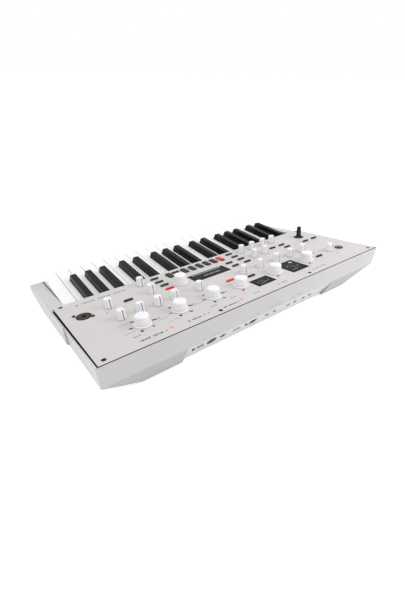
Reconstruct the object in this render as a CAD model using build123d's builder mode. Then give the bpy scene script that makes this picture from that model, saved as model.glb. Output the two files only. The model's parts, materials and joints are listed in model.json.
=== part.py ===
"""A compact 37-key synthesizer: a wedge-shaped case, a sloping control panel, a full-width keyboard.

Frame: +Z up, +X towards the treble end, -Y towards the player. The origin is on the ground under
the middle of the case. All sizes are in millimetres.
"""

import math
import os

from build123d import *

os.makedirs("parts", exist_ok=True)

# ---------------------------------------------------------------- driving dimensions
CASE_W = 565.0
CASE_D = 338.0
WALL = 2.5
FLOOR_Z = 4.0                   # underside of the floor, the height of the rubber feet
REAR_Y = CASE_D / 2
FRONT_Y = -CASE_D / 2

# The control panel slopes down towards the player from its rear top edge.
PANEL_TILT = 8.4
PANEL_REAR_Y = 167.0
PANEL_REAR_Z = 75.0
PANEL_W = 556.2
PANEL_L = 189.0
PANEL_T = 2.0
PANEL_FLANGE = 8.5              # folded-down sides
PANEL_GAP = 1.9                 # beside the panel
REAR_LIP = 0.8                  # thickness of the band where it stands up behind the panel
BAND_H = 33.5                   # height of the upright band round the case, below the panel's top
CHEEK_FRONT_Z = 16.0            # the rim of each side runs straight from the rear down to here
CHEEK_IN = 260.2                # inner face of a cheek
REAR_FOOT_Y = 153.0             # rear edge of the floor under the end blocks
REAR_JACK_Y = 148.0             # rear edge of the floor under the socket bay
BAY_HALF = 157.0                # half width of the socket bay
FACET_SLOPE = 30.0              # the lower sides rise outwards at this angle
CORNER_LEAN = 2.0               # the rear part of each side leans in by this much at its foot
CORNER_END = 45.0               # front end of that part
GROOVE_DEPTH = 9.0              # of the gap between the panel and that lip

# Keyboard: 22 white and 15 black keys.
KEY_PITCH = 23.5
WHITE_COUNT = 22
KEY_GAP = 0.95
WHITE_TOP = 33.1
KEY_BOTTOM = 16.1
KEY_FRONT = -161.8
KEY_TAIL_TOP = 31.0
KEY_STEP_Y = -22.0              # behind this the keys run under the control board
KEY_REAR = 22.0
KEY_WALL = 1.6
BLACK_TOP = 44.4
BLACK_FRONT = -115.5
BLACK_W = 13.2
BLACK_TOP_W = 10.2
BLACK_CLEAR = 0.65
PIVOT_Y = 14.0
PIVOT_Z = 24.0
PIVOT_R = 2.0
RUNNING = 0.05                  # radial clearance of a turning fit

# Control board, parallel to the panel.
BOARD_T = 1.6
BOARD_TOP = -12.0
SHAFT_R = 3.0
SCREW_R = 1.5
SCREW_HEAD_R = 3.3
BOSS_R = 4.0


def panel_plane(height=0.0):
    """The panel's top plane, raised by height: local x along the case, local y up the slope."""
    slope = math.radians(PANEL_TILT)
    base = Plane(
        origin=(0, PANEL_REAR_Y, PANEL_REAR_Z),
        x_dir=(1, 0, 0),
        z_dir=(0, -math.sin(slope), math.cos(slope)),
    )
    return base.offset(height)


def deck_z(y, drop=0.0):
    """Height of the panel's plane at y, less a drop measured square to it."""
    slope = math.radians(PANEL_TILT)
    return PANEL_REAR_Z - (PANEL_REAR_Y - y) * math.tan(slope) - drop / math.cos(slope)


def deck_y(z, drop):
    """Where the plane that lies drop below the panel's plane reaches height z."""
    slope = math.radians(PANEL_TILT)
    return PANEL_REAR_Y - (PANEL_REAR_Z - z - drop / math.cos(slope)) / math.tan(slope)


BREAK_Z = deck_z(REAR_Y, BAND_H)
JACK_TILT = math.degrees(math.atan2(REAR_Y - REAR_JACK_Y, BREAK_Z - FLOOR_Z))


def jack_plane(height=0.0):
    """The undercut socket face: local x along the case, local y down the face from the break."""
    lean = math.radians(JACK_TILT)
    base = Plane(
        origin=(0, REAR_Y, BREAK_Z),
        x_dir=(1, 0, 0),
        z_dir=(0, math.cos(lean), -math.sin(lean)),
    )
    return base.offset(height)


def facet_plane(side, inset):
    """The rising lower side of the case, moved inwards by inset."""
    tilt = math.radians(PANEL_TILT)
    rise = math.radians(FACET_SLOPE)
    normal = Vector(
        -side * math.cos(tilt) * math.sin(rise),
        -math.sin(tilt) * math.cos(rise),
        math.cos(tilt) * math.cos(rise),
    ).normalized()
    edge = Vector(side * CASE_W / 2, REAR_Y, BREAK_Z)
    return Plane(origin=edge + normal * inset, z_dir=normal)


def finish(builder, name):
    """Label a finished piece and write it."""
    builder.part.label = name
    export_step(builder.part, f"parts/{name}.step")


# ---------------------------------------------------------------- controls, by place
# Each control stands at (x, distance down the panel from its rear edge).
SMALL_KNOBS = {
    "osc1_shape_knob": (-168.0, 84.5),
    "osc1_pitch_knob": (-133.5, 84.5),
    "osc2_shape_knob": (-97.5, 84.5),
    "osc2_pitch_knob": (-56.5, 84.5),
    "noise_level_knob": (-17.0, 84.5),
    "cutoff_knob": (77.0, 84.5),
    "resonance_knob": (123.0, 84.5),
    "filter_envelope_knob": (152.0, 84.5),
    "drive_knob": (181.5, 84.5),
    "voice_level_knob": (211.0, 84.5),
    "attack_knob": (-115.0, 130.5),
    "decay_knob": (-87.0, 130.5),
    "edit_upper_knob": (139.0, 130.5),
    "voice_tune_knob": (211.0, 130.5),
    "tempo_knob": (-171.0, 168.5),
    "gate_knob": (-145.0, 168.5),
    "sustain_knob": (-115.0, 168.5),
    "release_knob": (-87.0, 168.5),
    "edit_lower_knob": (139.0, 168.5),
    "volume_knob": (-206.0, 50.0),
}
BIG_KNOBS = {
    "osc1_wave_selector": (-138.5, 50.0),
    "osc2_wave_selector": (-57.5, 50.0),
    "filter_type_selector": (20.0, 50.0),
    "modulation_selector": (76.0, 50.0),
    "delay_type_selector": (136.0, 50.0),
    "voice_effect_selector": (196.0, 50.0),
    "program_dial": (83.5, 129.5),
}
SMALL_R = 6.4
SMALL_TOP_R = 5.6
SMALL_H = 14.5
BIG_SKIRT_R = 13.0
BIG_R = 10.8
BIG_TOP_R = 9.8
BIG_H = 14.6
SKIRT_T = 1.6
SKIRT_GROOVE = 0.8              # height of the groove above the skirt
KNOB_LIFT = 0.6
POINTER_W = 1.3

PILL_W = 15.5
PILL_D = 4.6
PILL_BUTTONS = [
    (109.3, 174.0), (109.3, 156.8), (109.3, 139.4), (109.3, 122.2),
    (66.5, 174.0), (179.0, 130.5),
    (-59.5, 175.5), (-59.5, 157.5), (-59.5, 139.5), (-59.5, 121.5),
    (-30.5, 139.5), (-30.5, 121.5),
    (-17.5, 66.0), (20.0, 77.0),
    (-145.5, 140.0), (-171.5, 140.0), (-171.5, 124.0),
    (-224.0, 121.5), (-251.0, 122.0), (-169.5, 45.5),
]
CATEGORY_W = 9.0
CATEGORY_D = 19.0
CATEGORY_BUTTONS = [(x, 168.5) for x in (81.5, 50.0, 33.6, 17.2, 0.8, -15.6, -32.0)]
BUTTON_H = 2.2
BUTTON_CLEAR = 0.35

# Display windows: centre, width and depth.
WINDOWS = [
    ((25.0, 126.8), (77.0, 28.5)),
    ((-16.8, 38.8), (39.0, 25.0)),
    ((-97.8, 48.3), (41.0, 44.5)),
]
LEDS = [(187.0, 35.5), (152.3, 49.5), (84.5, 64.5), (171.0, 16.5), (52.0, 13.7), (-175.0, 63.0)]
LED_R = 2.0

MIC_AT = (250.0, 129.0)
MIC_R = 11.2
MIC_EARS = [(11.6, -9.2), (-10.8, 8.5)]
PHONES_AT = (-233.5, 48.5)
JACK_BORE_R = 3.25
JACK_COLLAR_R = 4.4
JACK_BORE_L = 31.0
MIC_BORE_L = 25.0
STICK_AT = (-237.5, 151.0)
STICK_PIVOT = -12.0
STICK_DOME_R = 15.8
STICK_PIN_R = 1.0
PANEL_SCREWS = [(-268.0, 8.5), (-95.5, 8.0), (95.5, 8.0), (268.0, 8.5), (268.0, 182.5), (-268.0, 182.5)]

# Sockets in the rear bay: x, and distance down the undercut face.
SOCKET_DOWN = 15.7
JACKS_X = [0.0, -17.5, -50.0, -67.5, -88.5, -105.5]
DIN_X = 111.5
DIN_R = 8.2
DC_X = 91.0
DC_R = 5.2
CARD_X = 63.5
USB_X = 30.5
POWER_X = 132.0
BAY_SCREWS_X = [144.0, 44.5]
SOCKET_DEPTH = 31.0


stick_pivot = panel_plane(STICK_PIVOT).from_local_coords(Vector(STICK_AT[0], -STICK_AT[1], 0))


def on_deck(places):
    """Panel places as local points of panel_plane()."""
    return [(x, -down) for x, down in places]


# ---------------------------------------------------------------- case
def case_block(inset, under_panel=False):
    """The solid outer shape of the whole case, with every face moved inwards by inset.

    Under the panel it may reach up to the panel instead of the sloping rim.
    """
    floor_front = deck_y(FLOOR_Z, BAND_H)
    headroom = 5.0 if under_panel else 0.0
    rim_front_z = deck_z(FRONT_Y, -headroom) if under_panel else CHEEK_FRONT_Z
    with BuildPart() as block:
        with BuildSketch(Plane.YZ):
            with BuildLine():
                Polyline(
                    (REAR_Y, deck_z(REAR_Y, -headroom)),
                    (FRONT_Y, rim_front_z),
                    (FRONT_Y, FLOOR_Z),
                    (floor_front, FLOOR_Z),
                    (REAR_FOOT_Y, FLOOR_Z),
                    (REAR_Y, BREAK_Z),
                    close=True,
                )
            make_face()
            if inset:
                offset(amount=-inset, kind=Kind.INTERSECTION)
        extrude(amount=CASE_W / 2 - inset, both=True)
        for side in (-1, 1):
            split(bisect_by=facet_plane(side, inset), keep=Keep.TOP)
        with BuildSketch(Plane.XZ.offset(-REAR_Y - 1)):
            for side in (-1, 1):
                top = side * (CASE_W / 2 - inset)
                foot = side * (CASE_W / 2 - CORNER_LEAN - inset)
                low = BREAK_Z - 25
                foot_low = foot + (foot - top) * 25 / (PANEL_REAR_Z - BREAK_Z)
                with BuildLine():
                    Polyline((top, PANEL_REAR_Z), (foot_low, low), (side * CASE_W, low),
                             (side * CASE_W, PANEL_REAR_Z), close=True)
                make_face()
        extrude(amount=REAR_Y + 1 - CORNER_END + inset, mode=Mode.SUBTRACT)
        shift = inset / math.cos(math.radians(JACK_TILT))
        run = math.tan(math.radians(JACK_TILT))
        with BuildSketch(Plane.YZ):
            with BuildLine():
                Polyline(
                    (REAR_Y - shift, BREAK_Z),
                    (REAR_JACK_Y - shift - 5 * run, FLOOR_Z - 5),
                    (REAR_Y + 20, FLOOR_Z - 5),
                    (REAR_Y + 20, BREAK_Z),
                    close=True,
                )
            make_face()
        extrude(amount=BAY_HALF + inset, both=True, mode=Mode.SUBTRACT)
    return block.part


outer_block = case_block(0)
inner_block = case_block(WALL)

with BuildPart() as pan_region:
    # Everything below the band, and the front part of the floor.
    seam_z = FLOOR_Z + WALL
    with BuildSketch(Plane.YZ):
        with BuildLine():
            Polyline(
                (FRONT_Y + WALL + 0.5, -20),
                (FRONT_Y + WALL + 0.5, seam_z),
                (deck_y(seam_z, BAND_H), seam_z),
                (REAR_Y + 20, deck_z(REAR_Y + 20, BAND_H)),
                (REAR_Y + 20, -20),
                close=True,
            )
        make_face()
    extrude(amount=CASE_W, both=True)

with BuildPart() as boss_space:
    # Whatever grows out of the case walls goes half way into them and never through them.
    add(case_block(WALL / 2))

with BuildPart() as open_space:
    # Room inside the walls, for what must not touch them, up to the panel.
    add(case_block(WALL + 0.2, under_panel=True))


def panel_bosses(space):
    """Screw bosses square to the panel, down to where the given space ends."""
    with BuildPart() as bosses:
        with BuildSketch(panel_plane(-PANEL_T)):
            with Locations(*on_deck(PANEL_SCREWS)):
                Circle(BOSS_R)
        extrude(amount=-90)
        add(space, mode=Mode.INTERSECT)
        # Room for the socket bodies.
        with BuildSketch(jack_plane(-WALL)):
            with Locations((0, SOCKET_DOWN)):
                Rectangle(2 * BAY_HALF, 18)
        extrude(amount=-SOCKET_DEPTH, mode=Mode.SUBTRACT)
    return bosses.part


with BuildPart() as boss_roots:
    add(panel_bosses(boss_space.part))
    add(pan_region.part, mode=Mode.INTERSECT)

CHEEK_SCREWS = [(side * 272.0, y) for side in (-1, 1) for y in (-148.0, -70.0)]

with BuildPart() as lower_case:
    add(outer_block)
    add(inner_block, mode=Mode.SUBTRACT)
    add(pan_region.part, mode=Mode.INTERSECT)
    add(panel_bosses(open_space.part))
    add(boss_roots.part)
    with BuildSketch(panel_plane(-PANEL_T)):
        with Locations(*on_deck(PANEL_SCREWS)):
            Circle(SCREW_R + RUNNING)
    extrude(amount=-9.5, mode=Mode.SUBTRACT)
    # Countersunk holes for the screws that hold the cheeks.
    with BuildSketch(Plane.XY.offset(FLOOR_Z)):
        with Locations(*CHEEK_SCREWS):
            Circle(SCREW_R + 0.2)
    extrude(amount=WALL, mode=Mode.SUBTRACT)
    with BuildSketch(Plane.XY.offset(FLOOR_Z)):
        with Locations(*CHEEK_SCREWS):
            Circle(SCREW_HEAD_R + 0.1)
    extrude(amount=SCREW_HEAD_R - SCREW_R, taper=45, mode=Mode.SUBTRACT)
    # Socket bay openings.
    with BuildSketch(jack_plane(1)):
        with Locations(*[(x, SOCKET_DOWN) for x in JACKS_X]):
            Circle(JACK_COLLAR_R + 0.1)
        with Locations((DIN_X, SOCKET_DOWN)):
            Circle(DIN_R + 0.1)
        with Locations((DC_X, SOCKET_DOWN)):
            Circle(DC_R + 0.1)
        with Locations((CARD_X, SOCKET_DOWN)):
            Rectangle(13.2, 3.2)
        with Locations((USB_X, SOCKET_DOWN)):
            Rectangle(12.2, 11.2)
        with Locations((POWER_X, SOCKET_DOWN)):
            SlotOverall(11.6, 5.6)
        with Locations(*[(x, SOCKET_DOWN) for x in BAY_SCREWS_X]):
            Circle(SCREW_R + 0.1)
    extrude(amount=-WALL * 2, mode=Mode.SUBTRACT)
finish(lower_case, "lower_case")

with BuildPart() as cheek_walls:
    # Upright walls between the cheeks and the end keys, and posts for the cheek screws.
    with Locations(*[(side * (CHEEK_IN + 1), (FRONT_Y - 18) / 2, 40) for side in (-1, 1)]):
        Box(2, -18 - FRONT_Y - 2, 80)
    with Locations(*[(x, y, 40) for x, y in CHEEK_SCREWS]):
        Cylinder(BOSS_R, 80)
    add(boss_space.part, mode=Mode.INTERSECT)
    add(pan_region.part, mode=Mode.SUBTRACT)

with BuildPart() as upper_case:
    add(outer_block)
    add(inner_block, mode=Mode.SUBTRACT)
    add(pan_region.part, mode=Mode.SUBTRACT)
    # Seat for the panel, with a thin upstanding lip behind it.
    with BuildSketch(panel_plane(-PANEL_T)):
        with Locations((0, -PANEL_L / 2)):
            Rectangle(PANEL_W + 2 * PANEL_GAP, PANEL_L)
    extrude(amount=12, mode=Mode.SUBTRACT)
    # The upright gap behind the panel is deeper, and open into the case.
    with BuildSketch(Plane.YZ):
        with BuildLine():
            Polyline(
                (PANEL_REAR_Y - 4, deck_z(PANEL_REAR_Y - 4, GROOVE_DEPTH)),
                (REAR_Y - REAR_LIP, deck_z(REAR_Y - REAR_LIP, GROOVE_DEPTH)),
                (REAR_Y - REAR_LIP, PANEL_REAR_Z + 5),
                (PANEL_REAR_Y - 4, PANEL_REAR_Z + 5),
                close=True,
            )
        make_face()
    extrude(amount=PANEL_W / 2 + PANEL_GAP, both=True, mode=Mode.SUBTRACT)
    # The well under the panel, open into the case.
    with BuildSketch(panel_plane(-16)):
        with Locations((0, -3 - (PANEL_L - 3) / 2)):
            Rectangle(PANEL_W + 2 * PANEL_GAP, PANEL_L - 3)
    extrude(amount=20, mode=Mode.SUBTRACT)
    # The keyboard opening.
    with Locations((0, (FRONT_Y + WALL - 10) / 2, 30)):
        Box(2 * CHEEK_IN, -10 - (FRONT_Y + WALL), 60, mode=Mode.SUBTRACT)
    add(cheek_walls.part)
    with BuildSketch(Plane.XY.offset(FLOOR_Z + WALL)):
        with Locations(*CHEEK_SCREWS):
            Circle(SCREW_R + RUNNING)
    extrude(amount=8.5, mode=Mode.SUBTRACT)
finish(upper_case, "upper_case")

# ---------------------------------------------------------------- top panel
with BuildPart() as top_panel:
    with BuildSketch(panel_plane(-PANEL_T)):
        with Locations((0, -PANEL_L / 2)):
            Rectangle(PANEL_W, PANEL_L)
    extrude(amount=PANEL_T)
    with BuildSketch(panel_plane(-PANEL_FLANGE)):
        for side in (-1, 1):
            with Locations((side * (PANEL_W - PANEL_T) / 2, -(PANEL_L + 5) / 2)):
                Rectangle(PANEL_T, PANEL_L - 5)
    extrude(amount=PANEL_FLANGE - PANEL_T / 2)
    with BuildSketch(panel_plane(1)):
        with Locations(*on_deck(list(SMALL_KNOBS.values()) + list(BIG_KNOBS.values()))):
            Circle(SHAFT_R + 0.5)
        with Locations(*on_deck(PILL_BUTTONS)):
            SlotOverall(PILL_W + 2 * BUTTON_CLEAR, PILL_D + 2 * BUTTON_CLEAR)
        with Locations(*on_deck(CATEGORY_BUTTONS)):
            RectangleRounded(CATEGORY_W + 2 * BUTTON_CLEAR, CATEGORY_D + 2 * BUTTON_CLEAR, 1.6)
        for place, size in WINDOWS:
            with Locations(*on_deck([place])):
                RectangleRounded(size[0], size[1], 1.0)
        with Locations(*on_deck(LEDS)):
            Circle(LED_R)
        with Locations(*on_deck([MIC_AT])):
            Circle(MIC_R + 0.1)
        with Locations(*[(MIC_AT[0] + x, -MIC_AT[1] + y) for x, y in MIC_EARS]):
            Circle(SCREW_R)
        with Locations(*on_deck([PHONES_AT])):
            Circle(5.6)
    extrude(amount=-PANEL_T - 2, mode=Mode.SUBTRACT)
    # The joystick's hole is part of a ball round its pivot.
    with Locations(stick_pivot):
        Sphere(STICK_DOME_R + 0.3, mode=Mode.SUBTRACT)
    with BuildSketch(panel_plane(0)):
        with Locations(*on_deck(PANEL_SCREWS)):
            Circle(SCREW_HEAD_R + 0.1)
    extrude(amount=-(SCREW_HEAD_R - SCREW_R - 0.1), taper=45, mode=Mode.SUBTRACT)
    with BuildSketch(panel_plane(0)):
        with Locations(*on_deck(PANEL_SCREWS)):
            Circle(SCREW_R + 0.2)
    extrude(amount=-PANEL_T, mode=Mode.SUBTRACT)
finish(top_panel, "top_panel")


# ---------------------------------------------------------------- screws and feet
def screws_at(plane, places):
    """Countersunk screws with a hexagon recess, heads flush with the plane, shanks going in."""
    with BuildPart() as screws:
        with BuildSketch(plane):
            with Locations(*places):
                Circle(SCREW_HEAD_R)
        extrude(amount=-(SCREW_HEAD_R - SCREW_R), taper=45)
        with BuildSketch(plane):
            with Locations(*places):
                Circle(SCREW_R)
        extrude(amount=-10)
        with BuildSketch(plane):
            with Locations(*places):
                RegularPolygon(1.25, 6)
        extrude(amount=-1.3, mode=Mode.SUBTRACT)
    return screws.part


with BuildPart() as case_screws:
    add(screws_at(panel_plane(-0.05), on_deck(PANEL_SCREWS)))
    floor_face = Plane.XY.offset(FLOOR_Z + 0.05).rotated((180, 0, 0))
    add(screws_at(floor_face, [(x, -y) for x, y in CHEEK_SCREWS]))
    # Two small round-headed screws hold the socket board to the bay.
    with BuildSketch(jack_plane(0.02)):
        with Locations(*[(x, SOCKET_DOWN) for x in BAY_SCREWS_X]):
            Circle(2.4)
    extrude(amount=1.2)
    with BuildSketch(jack_plane(0.02)):
        with Locations(*[(x, SOCKET_DOWN) for x in BAY_SCREWS_X]):
            Circle(SCREW_R)
    extrude(amount=-9)
finish(case_screws, "case_screws")

with BuildPart() as rubber_feet:
    with BuildSketch(Plane.XY):
        with Locations((-200, 128), (200, 128), (-250, -135), (250, -135)):
            Circle(8)
    extrude(amount=FLOOR_Z)
    chamfer(rubber_feet.faces().group_by(Axis.Z)[0].edges(), 0.8)
finish(rubber_feet, "rubber_feet")

# ---------------------------------------------------------------- keyboard
KEYBED_LEFT = -KEY_PITCH * WHITE_COUNT / 2
OCTAVE = 7 * KEY_PITCH
WHITE_NOTES = ["c", "d", "e", "f", "g", "a", "b"]
# Centre of each black key from the left end of its octave, and the white keys that it notches.
BLACK_NOTES = {
    "c_sharp": (KEY_PITCH - 3.2, ("c", "d")),
    "d_sharp": (2 * KEY_PITCH + 3.2, ("d", "e")),
    "f_sharp": (4 * KEY_PITCH - 4.2, ("f", "g")),
    "g_sharp": (5 * KEY_PITCH, ("g", "a")),
    "a_sharp": (6 * KEY_PITCH + 4.2, ("a", "b")),
}
NOTCH_HALF = BLACK_W / 2 + BLACK_CLEAR


def white_span(note, top_key):
    """Left and right edge of a white key's head and of its tail, from the octave's left end."""
    left = WHITE_NOTES.index(note) * KEY_PITCH + KEY_GAP / 2
    right = left + KEY_PITCH - KEY_GAP
    tail_left, tail_right = left, right
    for centre, (below, above) in BLACK_NOTES.values():
        if note == below and not top_key:
            tail_right = centre - NOTCH_HALF
        if note == above:
            tail_left = centre + NOTCH_HALF
    return left, right, tail_left, tail_right


def bar(x0, x1, y0, y1, z0, z1, mode=Mode.ADD):
    """A box between two corners."""
    with Locations(((x0 + x1) / 2, (y0 + y1) / 2, (z0 + z1) / 2)):
        Box(x1 - x0, y1 - y0, z1 - z0, mode=mode)


def white_key(note, octave):
    """A hollow white key with its notches, its lowered tail and its pivot bore."""
    start = KEYBED_LEFT + octave * OCTAVE
    left, right, tail_left, tail_right = (start + x for x in white_span(note, octave == 3))
    head_y = BLACK_FRONT - BLACK_CLEAR
    with BuildPart() as key:
        bar(left, right, KEY_FRONT, head_y, KEY_BOTTOM, WHITE_TOP)
        bar(tail_left, tail_right, head_y, KEY_STEP_Y, KEY_BOTTOM, WHITE_TOP)
        bar(tail_left, tail_right, KEY_STEP_Y, KEY_REAR - 15, KEY_BOTTOM, KEY_TAIL_TOP)
        bar(tail_left + 1.5, tail_right - 1.5, KEY_REAR - 15, KEY_REAR, KEY_BOTTOM, KEY_TAIL_TOP)
        top_edges = key.faces().sort_by(Axis.Z)[-1].edges()
        chamfer(top_edges.filter_by(Axis.X).sort_by(Axis.Y)[0], 0.8)
        bar(left + KEY_WALL, right - KEY_WALL, KEY_FRONT + KEY_WALL, head_y - KEY_WALL,
            KEY_BOTTOM, WHITE_TOP - 2, mode=Mode.SUBTRACT)
        bar(tail_left + KEY_WALL, tail_right - KEY_WALL, head_y, KEY_STEP_Y - KEY_WALL,
            KEY_BOTTOM, WHITE_TOP - 2, mode=Mode.SUBTRACT)
        with Locations(Location((start, PIVOT_Y, PIVOT_Z), (0, 90, 0))):
            Cylinder(PIVOT_R + RUNNING, 4 * OCTAVE, mode=Mode.SUBTRACT)
    return key.part


def black_key(note, octave):
    """A black key with sloping sides and front, a lowered tail and its pivot bore."""
    centre = KEYBED_LEFT + octave * OCTAVE + BLACK_NOTES[note][0]
    half, top_half = BLACK_W / 2, BLACK_TOP_W / 2
    rear = KEY_STEP_Y + 4
    with BuildPart() as key:
        with BuildSketch(Plane.XZ.offset(-rear)):
            with BuildLine():
                Polyline(
                    (centre - half, KEY_BOTTOM),
                    (centre - half, WHITE_TOP + 0.5),
                    (centre - top_half, BLACK_TOP),
                    (centre + top_half, BLACK_TOP),
                    (centre + half, WHITE_TOP + 0.5),
                    (centre + half, KEY_BOTTOM),
                    close=True,
                )
            make_face()
        extrude(amount=rear - BLACK_FRONT)
        front = Plane(origin=(centre, BLACK_FRONT, WHITE_TOP), z_dir=(0, 1, -0.28))
        split(bisect_by=front, keep=Keep.TOP)
        fillet(key.faces().sort_by(Axis.Z)[-1].edges(), 1.1)
        bar(centre - 4.4, centre + 4.4, BLACK_FRONT + 6, rear - 3, KEY_BOTTOM, BLACK_TOP - 4,
            mode=Mode.SUBTRACT)
        bar(centre - 5.5, centre + 5.5, rear, KEY_REAR, KEY_BOTTOM, KEY_TAIL_TOP)
        with Locations(Location((centre, PIVOT_Y, PIVOT_Z), (0, 90, 0))):
            Cylinder(PIVOT_R + RUNNING, 40, mode=Mode.SUBTRACT)
    return key.part


for note in WHITE_NOTES:
    with BuildPart() as key_group:
        for octave in range(4 if note == "c" else 3):
            add(white_key(note, octave))
    finish(key_group, f"white_keys_{note}")

for note in BLACK_NOTES:
    with BuildPart() as key_group:
        for octave in range(3):
            add(black_key(note, octave))
    finish(key_group, f"black_keys_{note}")

FRAME_BASE = FLOOR_Z + WALL
FRAME_TOP = FRAME_BASE + 1.6
# The rod's bearings stand at both ends, and where two white keys meet with no black one between.
LUGS_X = [KEYBED_LEFT - 1.3, -KEYBED_LEFT + 1.3]
LUGS_X += [KEYBED_LEFT + octave * OCTAVE + 3 * KEY_PITCH for octave in range(3)]
LUGS_X += [KEYBED_LEFT + octave * OCTAVE for octave in range(1, 4)]

with BuildPart() as keybed_frame:
    bar(KEYBED_LEFT - 1.5, -KEYBED_LEFT + 1.5, -132, KEY_REAR + 4, FRAME_BASE, FRAME_TOP)
    # Blocks under the outer bearings, where the floor is narrower than the keyboard.
    for side in (-1, 1):
        with Locations((side * (-KEYBED_LEFT - 3), PIVOT_Y, (FRAME_BASE + 14.5) / 2)):
            Box(11, 10, 14.5 - FRAME_BASE)
    for x in LUGS_X:
        bar(x - 0.9, x + 0.9, PIVOT_Y - 5, PIVOT_Y + 5, FRAME_BASE, PIVOT_Z + 4.5)
    for white in range(WHITE_COUNT):
        # A guide post inside the head of each white key.
        x = KEYBED_LEFT + (white + 0.5) * KEY_PITCH
        bar(x - 2, x + 2, -130, -124, FRAME_BASE, KEY_BOTTOM + 5)
    add(open_space.part, mode=Mode.INTERSECT)
    with Locations(Location((0, PIVOT_Y, PIVOT_Z), (0, 90, 0))):
        Cylinder(PIVOT_R + 0.02, CASE_W, mode=Mode.SUBTRACT)
finish(keybed_frame, "keybed_frame")

with BuildPart() as key_pivot_rod:
    with Locations(Location((0, PIVOT_Y, PIVOT_Z), (0, 90, 0))):
        Cylinder(PIVOT_R, -2 * KEYBED_LEFT + 6)
finish(key_pivot_rod, "key_pivot_rod")

with BuildPart() as key_contact_board:
    # A long board of key contacts, and the rubber strip of domes that the keys press.
    bar(KEYBED_LEFT + 4, -KEYBED_LEFT - 4, -62, -22, FRAME_TOP, FRAME_TOP + BOARD_T)
    bar(KEYBED_LEFT + 6, -KEYBED_LEFT - 6, -50, -32, FRAME_TOP + BOARD_T, FRAME_TOP + BOARD_T + 2.4)
finish(key_contact_board, "key_contact_board")


# ---------------------------------------------------------------- knobs
def knob(place, radius, top_radius, height, skirt_radius, pointer):
    """A knob cap with a line cut over its top and down its side, pressed on its own shaft."""
    x, y = place[0], -place[1]
    line_foot = KNOB_LIFT
    with BuildPart() as cap:
        with BuildSketch(panel_plane(KNOB_LIFT)):
            with Locations((x, y)):
                Circle(radius)
        taper = math.degrees(math.atan2(radius - top_radius, height))
        extrude(amount=height, taper=taper)
        rim = cap.faces().sort_by(Axis.Z)[-1].edges()
        fillet(rim, top_radius / 4)
        if skirt_radius:
            line_foot += SKIRT_T + SKIRT_GROOVE
            with BuildSketch(panel_plane(KNOB_LIFT)):
                with Locations((x, y)):
                    Circle(skirt_radius)
            extrude(amount=SKIRT_T, taper=25)
            with BuildSketch(panel_plane(KNOB_LIFT + SKIRT_T)):
                with Locations((x, y)):
                    Circle(radius + 1)
                    Circle(radius - 1.2, mode=Mode.SUBTRACT)
            extrude(amount=SKIRT_GROOVE, mode=Mode.SUBTRACT)
        with BuildSketch(panel_plane(KNOB_LIFT + height)):
            with Locations((x, y)):
                with PolarLocations(radius, 1, start_angle=pointer):
                    Rectangle(radius, POINTER_W)
        extrude(amount=-0.5, mode=Mode.SUBTRACT)
        with BuildSketch(panel_plane(line_foot)):
            with Locations((x, y)):
                with PolarLocations(top_radius + 1.1, 1, start_angle=pointer):
                    Rectangle(3.0, POINTER_W)
        extrude(amount=height, mode=Mode.SUBTRACT)
        with BuildSketch(panel_plane(KNOB_LIFT - 3)):
            with Locations((x, y)):
                Circle(SHAFT_R + 0.02)
        extrude(amount=height - 1, mode=Mode.SUBTRACT)
    with BuildPart() as shaft:
        with BuildSketch(panel_plane(BOARD_TOP + 7)):
            with Locations((x, y)):
                Circle(SHAFT_R)
        extrude(amount=height - 11 + 7 + KNOB_LIFT)
    with BuildPart() as whole:
        add(cap.part)
        add(shaft.part)
    return whole


for name, place in SMALL_KNOBS.items():
    finish(knob(place, SMALL_R, SMALL_TOP_R, SMALL_H, None, 100), name)
for name, place in BIG_KNOBS.items():
    finish(knob(place, BIG_R, BIG_TOP_R, BIG_H, BIG_SKIRT_R, 240), name)


# ---------------------------------------------------------------- buttons
def buttons(places, outline):
    """Button caps, each with a retaining flange below the panel and a stem for its switch."""
    with BuildPart() as caps:
        with BuildSketch(panel_plane(-PANEL_T - 0.1)):
            with Locations(*on_deck(places)):
                outline(0)
        extrude(amount=PANEL_T + 0.1 + BUTTON_H)
        up = Axis((0, 0, 0), panel_plane().z_dir)
        fillet(caps.faces().filter_by(panel_plane()).group_by(up)[-1].edges(), 0.6)
        with BuildSketch(panel_plane(-PANEL_T - 1.3)):
            with Locations(*on_deck(places)):
                outline(1.0)
        extrude(amount=1.2)
        with BuildSketch(panel_plane(-PANEL_T - 1.3)):
            with Locations(*on_deck(places)):
                Circle(1.5)
        extrude(amount=-2.5)
    return caps


def pill_outline(grow):
    return SlotOverall(PILL_W + 2 * grow, PILL_D + 2 * grow)


def category_outline(grow):
    return RectangleRounded(CATEGORY_W + 2 * grow, CATEGORY_D + 2 * grow, 1.3)


finish(buttons(PILL_BUTTONS, pill_outline), "panel_buttons")
finish(buttons(CATEGORY_BUTTONS, category_outline), "category_buttons")

with BuildPart() as power_button:
    with BuildSketch(jack_plane(1.8)):
        with Locations((POWER_X, SOCKET_DOWN)):
            SlotOverall(11.0, 5.0)
    extrude(amount=-6)
    with BuildSketch(jack_plane(-WALL - 0.2)):
        with Locations((POWER_X, SOCKET_DOWN)):
            SlotOverall(14.0, 8.0)
    extrude(amount=-1.5)
finish(power_button, "power_button")

# ---------------------------------------------------------------- boards and their parts
with BuildPart() as control_board:
    with BuildSketch(panel_plane(BOARD_TOP - BOARD_T)):
        with Locations((-15, -98)):
            Rectangle(494, 164)
        with Locations(*on_deck([PHONES_AT])):
            Circle(11.5, mode=Mode.SUBTRACT)
        with Locations(*on_deck([STICK_AT])):
            Rectangle(54, 54, mode=Mode.SUBTRACT)
    extrude(amount=BOARD_T)
finish(control_board, "control_board")

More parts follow.
